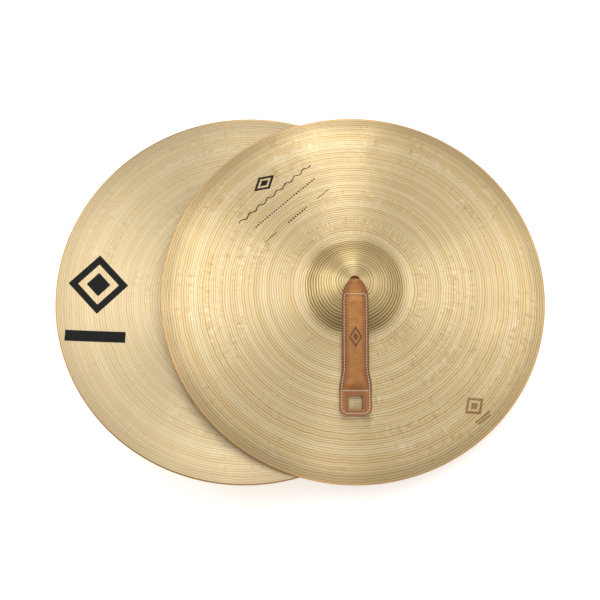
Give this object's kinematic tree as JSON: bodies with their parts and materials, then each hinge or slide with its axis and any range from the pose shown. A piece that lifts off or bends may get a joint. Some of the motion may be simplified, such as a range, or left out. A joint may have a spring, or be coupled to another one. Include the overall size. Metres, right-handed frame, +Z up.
{
  "type": "hand cymbals",
  "caption": "Pair of thin bronze hand cymbals laid face to face and offset, each with a bell, a bow and a padded leather hand strap knotted through its centre hole.",
  "frame": {"origin": "on the table, under the centre of the pair's bounding box", "axes": "+Z up from the table, +X from the lower, rear cymbal to the upper, front one, -Y towards the end of the front strap"},
  "size_m": [0.577, 0.4572, 0.0892],
  "materials": {
    "bronze": "lathed and hammered",
    "tan_leather": "smooth vegetable-tanned",
    "felt": "pressed felt",
    "white_thread": "waxed thread"
  },
  "bodies": {
    "rear_cymbal_disc": {"rear_cymbal": "bronze"},
    "rear_strap_neck": {"rear_grip_thong": "tan_leather", "rear_backing_thong": "tan_leather", "rear_strap_knot": "tan_leather"},
    "rear_strap_handle": {"rear_grip_leather": "tan_leather", "rear_backing_leather": "tan_leather", "rear_grip_padding": "felt", "rear_edge_stitching": "white_thread", "rear_upper_seam_stitching": "white_thread", "rear_lower_seam_stitching": "white_thread"},
    "front_cymbal_disc": {"front_cymbal": "bronze"},
    "front_strap_neck": {"front_grip_thong": "tan_leather", "front_backing_thong": "tan_leather", "front_strap_knot": "tan_leather"},
    "front_strap_handle": {"front_grip_leather": "tan_leather", "front_backing_leather": "tan_leather", "front_grip_padding": "felt", "front_edge_stitching": "white_thread", "front_upper_seam_stitching": "white_thread", "front_lower_seam_stitching": "white_thread"}
  },
  "joints": [
    {"name": "pair_separation", "type": "slide", "parent": "rear_cymbal_disc", "child": "front_cymbal_disc", "axis": [0.1536, 0, 0.9881], "range_m": [0, 0.3]},
    {"name": "rear_strap_swivel", "type": "hinge", "parent": "rear_cymbal_disc", "child": "rear_strap_neck", "pos_m": [-0.06986, 0, 0.007], "axis": [-0.1536, 0, -0.9881], "continuous": true},
    {"name": "rear_strap_lift", "type": "hinge", "parent": "rear_strap_neck", "child": "rear_strap_handle", "pos_m": [-0.06986, 0, 0.007], "axis": [0, -1, 0], "range_deg": [-19.33, 81.17]},
    {"name": "front_strap_swivel", "type": "hinge", "parent": "front_cymbal_disc", "child": "front_strap_neck", "pos_m": [0.06986, 0, 0.08234], "axis": [0.1536, 0, 0.9881], "continuous": true},
    {"name": "front_strap_lift", "type": "hinge", "parent": "front_strap_neck", "child": "front_strap_handle", "pos_m": [0.06986, 0, 0.08234], "axis": [-0.9881, 0, 0.1536], "range_deg": [0, 100.5]}
  ]
}
